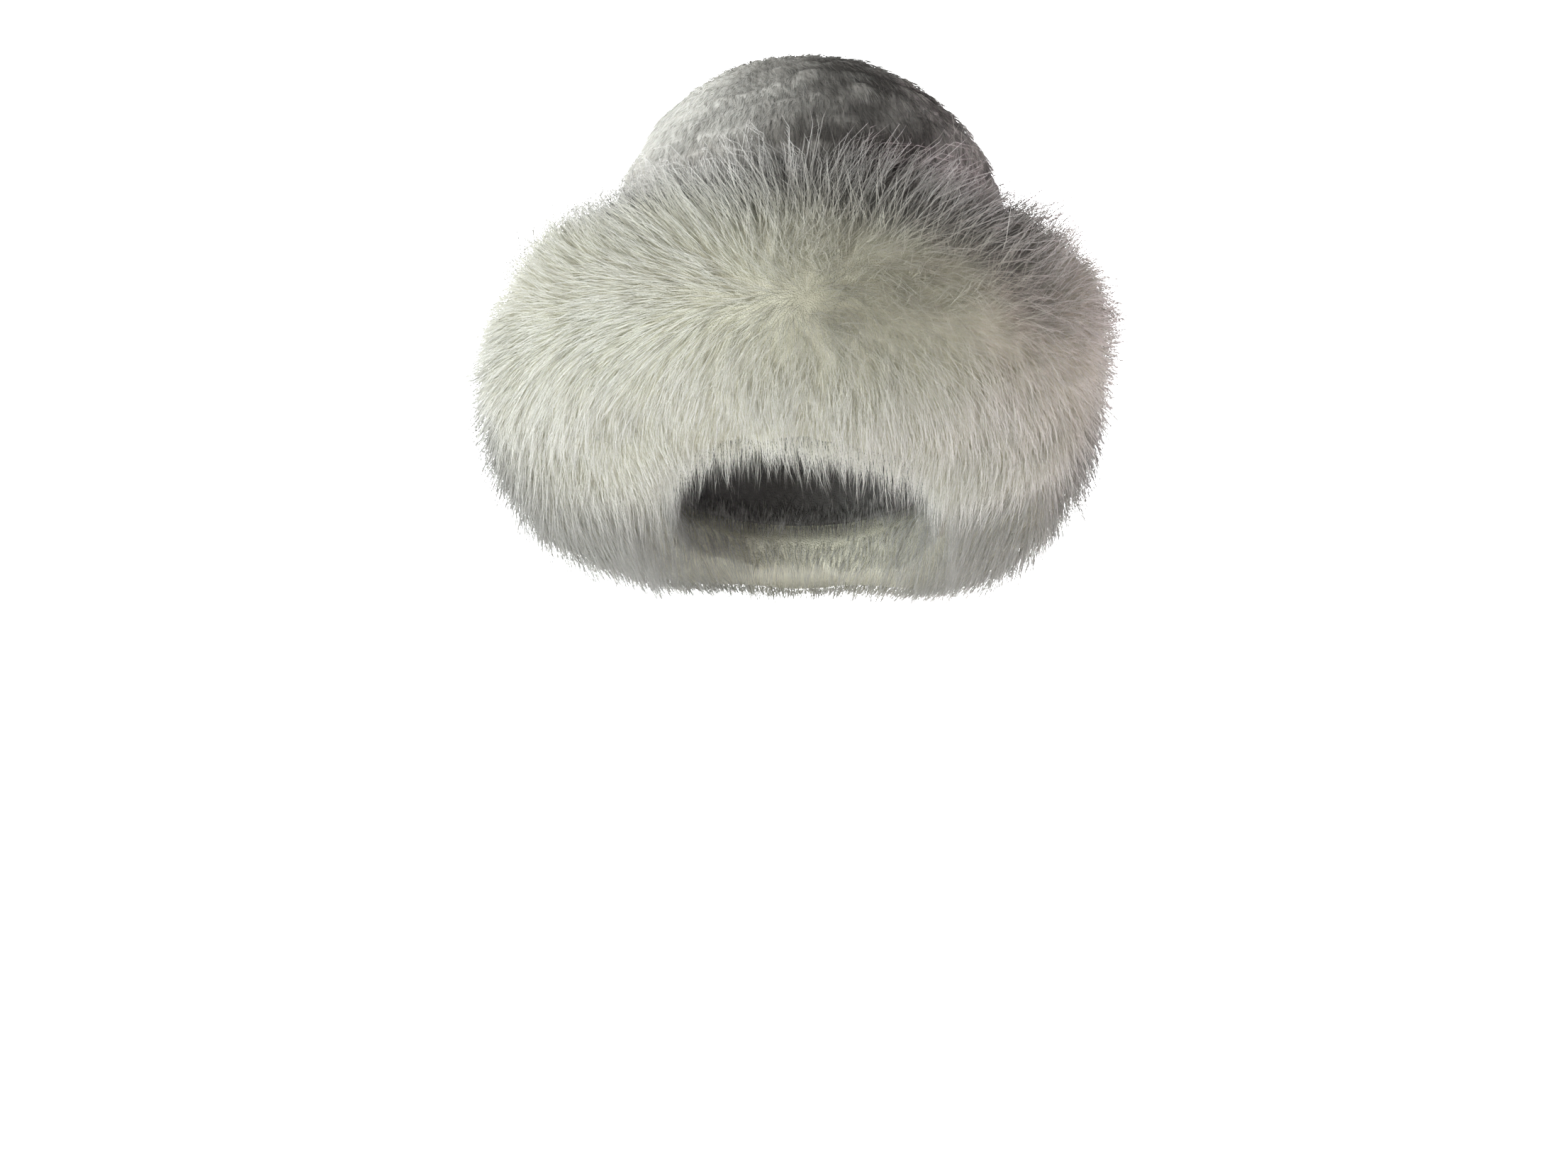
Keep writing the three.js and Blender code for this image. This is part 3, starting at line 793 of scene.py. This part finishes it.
def make_fox_skin():
    azimuth, angle = np.meshgrid(
        np.arange(BRIM_SECTIONS) * 360 / BRIM_SECTIONS,
        np.arange(BRIM_STEPS) * 360 / BRIM_STEPS - 180,
        indexing="ij",
    )
    piece = skin("fox_underfur", as_worn(underfur_points(azimuth, angle)), rows_close=True)
    theta = np.abs(signed(azimuth))
    flank, whorl = flank_share(azimuth), whorl_share(azimuth, angle)
    middle = whorl_share(azimuth, angle, WHORL_MIDDLE)
    top, low = ease(angle, 0, 35), ease(-angle, 30, 75)
    under = ease(-angle, 55, 100) * fading(-angle, 125, 150)
    lift = 1 + 0.6 * flank * ease(angle, 30, 70) + 0.5 * whorl
    lift += 1.5 * middle + 0.5 * under
    lift *= 1 - 0.3 * ease(theta, 120, 170)
    # painted shade on the hair tips over the ears, less towards the lower edge; the whorl's middle gets
    # some too
    painted_shade = ease(theta, 64, 86) * (0.95 - 0.3 * ease(-angle, 20, 60))
    density = 1 - 0.15 * ease(-angle, 100, 130)
    density *= fading(angle, 112, 130)
    density *= fading(-angle, 158, 172)
    keep(piece, "comb", fox_comb(azimuth, angle))
    keep(piece, "fur_length", fur_length(azimuth, angle))
    keep(piece, "fur_tangle", 0.1 + 0.75 * np.maximum(whorl, middle))
    keep(piece, "fur_wisps", np.clip(0.12 + 0.4 * whorl + 0.88 * np.maximum(top, 0.5 * low), 0, 1))
    keep(piece, "fur_lift", lift * (1 + LIFT_CHANCE * soft_noise(azimuth, angle, 37, 15, 6)))
    keep(piece, "fur_stand", flank * ease(angle, -100, -70) * fading(angle, 60, 95))
    keep(piece, "fur_grey", silver_share(azimuth, angle))
    keep(piece, "fur_painted_shade", np.clip(painted_shade + 0.45 * middle, 0, 1))
    keep(piece, "fur_density", density)
    columns = np.arange(BRIM_SECTIONS)
    keep_panels(piece, (columns * FOX_PANELS // BRIM_SECTIONS)[:, None] * np.ones(BRIM_STEPS))
    return piece


# ---- crown ----
CROWN_COLUMNS = 208
CROWN_ROW_STEPS = 5
NAP_LENGTH = 0.016
TUFTS = 40  # in the longest row
LAY_RISE = 0.35  # height of the whole crown where the streaks and stitches of its pile are laid out
STITCHES_ROUND, STITCH_ROWS = 70.0, 34
DARK_PILE, PALE_PILE = (0.165, 0.162, 0.157, 1), (0.92, 0.92, 0.89, 1)


def tufts_of_row(row):
    """Where the tufts of a row meet, in degrees round the crown, how pale each is and how high it sits."""
    chance = np.random.default_rng(100 + int(row))
    count = TUFTS - int(1.6 * max(row - 5, 0))
    meets = np.sort(np.arange(count) + chance.uniform(0, 1, count) ** 0.7) * 360 / count
    return meets, chance.uniform(0, 1, count), chance.uniform(-0.22, 0.22, count)


def knit_relief(share, azimuth):
    """How proud the knitted rows stand, and for each place its tuft and that tuft's paleness, 0 to 1."""
    turn = np.radians(azimuth)
    place = (share - KNIT["from"]) / (KNIT["to"] - KNIT["from"]) * KNIT["rows"]
    # the rows wander a little, so that they don't run level
    place = place + 0.26 * np.sin(3 * turn + 0.8 * place) + 0.14 * np.sin(7 * turn + 2.1 * place)
    row = np.clip(np.floor(place), 0, KNIT["rows"] - 1)
    up = np.clip(place - row, 0, 1)
    lump, pale, shift = (np.zeros(share.shape) for _ in range(3))
    for r in range(KNIT["rows"]):
        meets, paleness, height = tufts_of_row(r)
        here = row == r
        at = azimuth[here] % 360
        k = np.searchsorted(meets, at) - 1
        start = meets[k] - np.where(k < 0, 360, 0)
        end = np.where(k + 1 < len(meets), meets[(k + 1) % len(meets)], meets[0] + 360)
        lump[here] = np.sin(np.pi * np.clip((at - start) / (end - start), 0, 1)) ** 1.2
        pale[here] = paleness[k]
        shift[here] = height[k] * lump[here]
    ridge = 0.5 - 0.5 * np.cos(2 * np.pi * np.clip(up + shift, 0, 1) ** 1.25)
    pale = 0.5 + (pale - 0.5) * ridge * lump
    fade = ease(KNIT["to"] - share, 0, 0.2)
    inside = (share >= KNIT["from"]) & (share <= KNIT["to"])
    proud = KNIT["depth"] * (0.7 * ridge - 0.5 + 0.8 * ridge * (lump - 0.5) * fade)
    tuft = ridge * (0.45 + 0.55 * lump)
    return np.where(inside, proud, 0), np.where(inside, tuft, 0.4), np.where(inside, pale, 0.5)


def make_crown_skin():
    row_shares = np.linspace(KNIT["from"], KNIT["to"], KNIT["rows"] * CROWN_ROW_STEPS + 1)
    outer = np.concatenate([np.linspace(0, KNIT["from"], 10)[:-1], row_shares, [0.975, 0.99]])
    inner = np.concatenate([np.linspace(0, 0.06, 4)[:-1], np.linspace(0.06, 0.97, 15)])
    azimuths = np.arange(CROWN_COLUMNS) * 360 / CROWN_COLUMNS

    def wall(shares, proud):
        share, azimuth = np.meshgrid(shares, azimuths, indexing="ij")
        plain = crown_points(share, azimuth, 0)
        relief, tuft, pale = knit_relief(share, azimuth)
        relief = relief if proud == 0 else 0 * relief
        return crown_points(share, azimuth, proud + relief + dent_depth(plain)), share, azimuth, tuft, pale

    outside, share, azimuth, tuft, pale = wall(outer, 0)
    inside, inside_share, inside_azimuth, inside_tuft, _ = wall(inner, -WALL)
    grid = np.concatenate([outside[::-1], inside])
    piece = skin("knitted_crown", as_worn(grid))
    step = 0.004
    comb = unit(crown_points(share - step, azimuth, 0) - crown_points(share + step, azimuth, 0))
    unseen = np.zeros(inside.shape[:2])

    def whole(values, rest):
        return np.concatenate([values[::-1], rest])

    keep(piece, "inside", whole(0 * share, unseen + 1))
    turn = np.radians(whole(azimuth, inside_azimuth))
    lay = np.stack([np.cos(turn), np.sin(turn), LAY_RISE * whole(share, inside_share)], -1)
    keep(piece, "comb", as_worn(whole(comb, comb[: len(inner)])))
    keep(piece, "pile_lay", lay)
    keep(piece, "tuft", whole(tuft, inside_tuft))
    keep(piece, "tuft_pale", whole(pale, unseen + 0.3))
    keep(piece, "fur_length", whole(NAP_LENGTH * (0.6 + 0.4 * tuft), unseen + NAP_LENGTH))
    shown = ease(share, 0.3, 0.38) * fading(share, 0.965, 0.99)
    hem = 1.2 * fading(inside_share, 0.015, 0.05)
    keep(piece, "fur_density", whole(shown * (0.5 + 0.5 * tuft), hem))
    for name, value in (("fur_tangle", 0.2), ("fur_wisps", 1), ("fur_lift", 1), ("fur_stand", 0)):
        keep(piece, name, np.full(len(piece.data.vertices), value))
    keep_panels(piece, np.zeros(len(piece.data.polygons)))
    return piece


def pile_colour(nodes, groove_shade_share):
    """Grey-white pile in streaks that run down the crown, paler on the pale tufts; paler on the crown of
    each tuft and darker in the grooves between rows as painted shade, and paler on the wearer's right
    towards the front and along the wearer's left edge as painted highlight.
    """
    tuft, pale = nodes.stored("tuft"), nodes.stored("tuft_pale")
    place = nodes.add("ShaderNodeTexCoord", out=3)
    streak = nodes.noise(nodes.stored("pile_lay", out=1), 30.0, 2.0)
    cloud = nodes.noise(place, 28.0, 2.0)
    across, back = nodes.part(place, 0), nodes.part(place, 1)
    # painted highlight: paler towards the wearer's right side at the front, where the key lamp falls, and
    # along the wearer's left edge, where the right lamp grazes it
    right, front = nodes.ramp(across, 0.02, -0.09, -0.05, 1.1), nodes.ramp(back, 0.07, 0.0, 0.1, 1.0)
    left = nodes.ramp(across, 0.06, 0.095, 0.0, 0.4)
    level = nodes.total(
        # painted shade: darker in the grooves between the knitted rows and paler on the crown of each tuft
        nodes.product(tuft, groove_shade_share),
        nodes.product(nodes.less(pale, 0.2), 0.42),
        nodes.product(nodes.less(streak, 0.5), 0.7),
        nodes.product(nodes.less(cloud, 0.5), 1.4),
        nodes.product(right, front),
        left,
    )
    return nodes.mix(nodes.ramp(level, 0.05, 1.25), DARK_PILE, PALE_PILE)


def knit_material():
    """The knitted base of the crown: pale tufts outside, with painted shade in the grooves between rows and
    painted highlights on the lit side and edge, and close stitches inside.
    """
    made, nodes, inputs = material("knitted fur", 0.95, 0.1)
    wool = nodes.noise(nodes.add("ShaderNodeTexCoord", out=3), 900.0, 2.0)
    lay = nodes.stored("pile_lay", out=1)
    turn = nodes.math("ARCTAN2", nodes.part(lay, 1), nodes.part(lay, 0))
    turn = nodes.product(turn, STITCHES_ROUND)
    rows = nodes.product(nodes.part(lay, 2), 2 * math.pi * STITCH_ROWS / LAY_RISE)
    stitch = nodes.product(nodes.math("SINE", turn), nodes.math("SINE", rows))
    stitch = nodes.line(stitch, 0.25, nodes.product(wool, 0.9))
    within = nodes.mix(nodes.ramp(stitch, 0.1, 0.8), (0.105, 0.103, 0.1, 1), (0.125, 0.122, 0.118, 1))
    colour = nodes.mix(nodes.stored("inside"), pile_colour(nodes, 0.28), within)
    nodes.link(colour, inputs["Base Color"])
    nodes.link(nodes.add("ShaderNodeBump", {"Height": stitch, "Distance": 0.0007}), inputs["Normal"])
    return made


def nap_material():
    """The crown's short pile: dark at the root and pale at the tip, most of all on the pale tufts, with the
    pile colour's painted shade in the grooves and painted highlights on the lit side and edge.
    """
    made, nodes, inputs = material("crown nap", 0.75, 0.15)
    root = nodes.mix(1.0, pile_colour(nodes, 0.2), (0.8, 0.79, 0.78, 1), "MULTIPLY")
    along = nodes.ramp(nodes.stored("strand_along"), 0.1, 0.8)
    nodes.link(nodes.mix(along, root, pile_colour(nodes, 0.36)), inputs["Base Color"])
    return made


# ---- making the pieces ----
# Roughness, then the colours of cream root and tip and of silver root and tip.
FOX_COLOURS = {
    "wool": (0.75, (0.74, 0.735, 0.61), (0.81, 0.81, 0.735), (0.2, 0.2, 0.189), (0.44, 0.44, 0.423)),
    "guard": (0.6, (0.77, 0.765, 0.66), (0.86, 0.86, 0.82), (0.52, 0.52, 0.5), (0.98, 0.98, 0.97)),
    "flyaway": (0.7, (0.74, 0.735, 0.63), (0.8, 0.8, 0.76), (0.3, 0.3, 0.29), (0.5, 0.5, 0.49)),
}
FUR_TREE = make_fur_tree()
LONG_HAIR = make_hair("long_hair", [(0.3, 1.0), (0.68, 0.75)])
SHORT_HAIR = make_hair("short_hair", [(0.45, 1.0)])


def hair_settings(kind, skin_piece, finish):
    k = HAIR_KINDS.index(kind)
    settings = {name: float(values[k]) for name, values in HAIR_SETTINGS.items()}
    for name in ("Lift", "Lift spread", "Most lift"):
        settings[name] = math.radians(settings[name])
    settings["Hairs per m2"] = HAIR_COUNTS[k] / skin_area(skin_piece)
    hair = LONG_HAIR if kind == "guard" else SHORT_HAIR
    return {**settings, "Seed": HAIR_SEEDS[k], "Hair": hair, "Material": finish}


def finish_piece(piece, node, finish=None):
    if finish:
        piece.data.materials.clear()
        piece.data.materials.append(finish)
    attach(piece, "root")
    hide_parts(node)


fox_skin = make_fox_skin()
for layer, (roughness, *colours) in FOX_COLOURS.items():
    name = "fox underwool" if layer == "wool" else f"fox {layer} hair"
    finish = fur_material(name, roughness, *((*colour, 1) for colour in colours))
    settings = hair_settings(layer, fox_skin, finish)
    for panel in range(FOX_PANELS):
        fur = grow(f"fox_{layer}_{panel + 1}", fox_skin, settings, panel)
        finish_piece(fur, "fox_brim")
packed = underfur_material("fox underfur", (0.73, 0.72, 0.605, 1), (0.3, 0.3, 0.28, 1))
finish_piece(fox_skin, "fox_brim", packed)

crown_skin = make_crown_skin()
nap = grow("crown_nap", crown_skin, hair_settings("nap", crown_skin, nap_material()))
finish_piece(nap, "crown")
finish_piece(crown_skin, "crown", knit_material())
for hair in (LONG_HAIR, SHORT_HAIR):
    bpy.data.objects.remove(hair)


# ---- studio ----
FLOOR = {"height": -0.5, "radius": 8, "sides": 64, "over_sweep": 0.004}
SWEEP = {"half_width": 1.5, "bend": 0.9, "wall": 2.6, "height": 1.5, "steps": 13}
PALE = (0.88, 0.88, 0.88, 1)


def make_stage(name, points, faces):
    stage = mesh_object(name, points, faces)
    made, _, inputs = material(name.replace("_", " "), 0.9)
    inputs["Base Color"].default_value = PALE
    stage.data.materials.append(made)


def make_studio():
    """A wide pale floor, and behind the hat a pale wall that bends up out of it."""
    turns = np.linspace(0, math.pi / 2, SWEEP["steps"])
    y = list(SWEEP["wall"] - SWEEP["bend"] + SWEEP["bend"] * np.sin(turns)) + [SWEEP["wall"]]
    z = list(SWEEP["bend"] * (1 - np.cos(turns))) + [SWEEP["height"]]
    half = SWEEP["half_width"]
    sweep = [(x, yy, FLOOR["height"] + zz) for yy, zz in zip(y, z) for x in (-half, half)]
    strips = [(2 * k, 2 * k + 1, 2 * k + 3, 2 * k + 2) for k in range(len(y) - 1)]
    make_stage("studio_sweep", sweep, strips)
    turns = np.linspace(0, 2 * math.pi, FLOOR["sides"], endpoint=False)
    radius, height = FLOOR["radius"], FLOOR["height"] + FLOOR["over_sweep"]
    floor = [(radius * math.cos(t), radius * math.sin(t), height) for t in turns]
    make_stage("studio_floor", floor, [tuple(range(FLOOR["sides"]))])


# Soft lamps round the hat: degrees right of the camera's side and up, distance, size, watts and colour.
HAT_MIDDLE = Vector((0, 0, 0.06))
LAMPS = {
    "front": (-32, 0, 2.1, 1.2, 9.9, (1, 0.94, 0.87)),
    "low_left": (-45, -15, 1.2, 0.4, 2.6, (0.88, 1, 1)),
    "low_right": (40, -15, 1.2, 0.4, 0.7, (1, 1, 1)),
    "right": (112, 0, 2.1, 1.2, 13, (1, 0.76, 0.81)),
    "back_left": (-150, 30, 2.1, 1.2, 23, (1, 1, 0.97)),
}
# A lamp on each side that lights the wall; places are for the right one.
WALL_LAMP = {"place": (1.7, 1.1, 0.5), "target": (-0.3, 2.6, 0.1), "size": 0.8, "watts": 95}
SPREAD, WALL_SPREAD = math.radians(120), math.radians(100)
CAMERA = {"place": (-0.0095, -1.8, -0.0646), "lens": 74.35, "sensor": 36}


def make_lamp(name, place, target, size, power, colour=(1, 1, 1), spread=SPREAD):
    light = bpy.data.lights.new(name, "AREA")
    light.shape, light.size = "DISK", size
    light.energy, light.color, light.spread = power, colour, spread
    lamp = place_object(name, light)
    lamp.location = place
    lamp.rotation_euler = (Vector(target) - Vector(place)).to_track_quat("-Z", "Y").to_euler()


def make_lamps():
    for name, (turn, up, distance, size, power, colour) in LAMPS.items():
        a, e = math.radians(turn), math.radians(up)
        towards = Vector((math.sin(a) * math.cos(e), -math.cos(a) * math.cos(e), math.sin(e)))
        make_lamp(name, HAT_MIDDLE + distance * towards, HAT_MIDDLE, size, power, colour)
    for name, side in (("wall_left", -1), ("wall_right", 1)):
        place, target = ((side * x, y, z) for x, y, z in (WALL_LAMP["place"], WALL_LAMP["target"]))
        make_lamp(name, place, target, WALL_LAMP["size"], WALL_LAMP["watts"], spread=WALL_SPREAD)


def make_camera():
    """About level with the brim's lower edge, far enough off for a long lens."""
    camera = bpy.data.cameras.new("camera")
    camera.sensor_width, camera.lens = CAMERA["sensor"], CAMERA["lens"]
    holder = place_object("camera", camera)
    holder.location = CAMERA["place"]
    holder.rotation_euler = (math.pi / 2, 0, 0)
    bpy.context.scene.camera = holder


def make_world(level, overhead):
    """Soft light from all round, which fades overhead."""
    world = bpy.data.worlds.new("studio")
    world.use_nodes = True
    nodes = Nodes(world.node_tree)
    height = nodes.part(nodes.add("ShaderNodeTexCoord"), 2)
    ground = world.node_tree.nodes["Background"].inputs
    ground["Color"].default_value = (1, 1, 1, 1)
    nodes.link(nodes.ramp(height, 0.1, 0.6, level, overhead), ground["Strength"])
    bpy.context.scene.world = world


make_studio()
make_lamps()
make_world(level=0.32, overhead=0.2)
make_camera()
bpy.context.scene.view_settings.view_transform = "Standard"
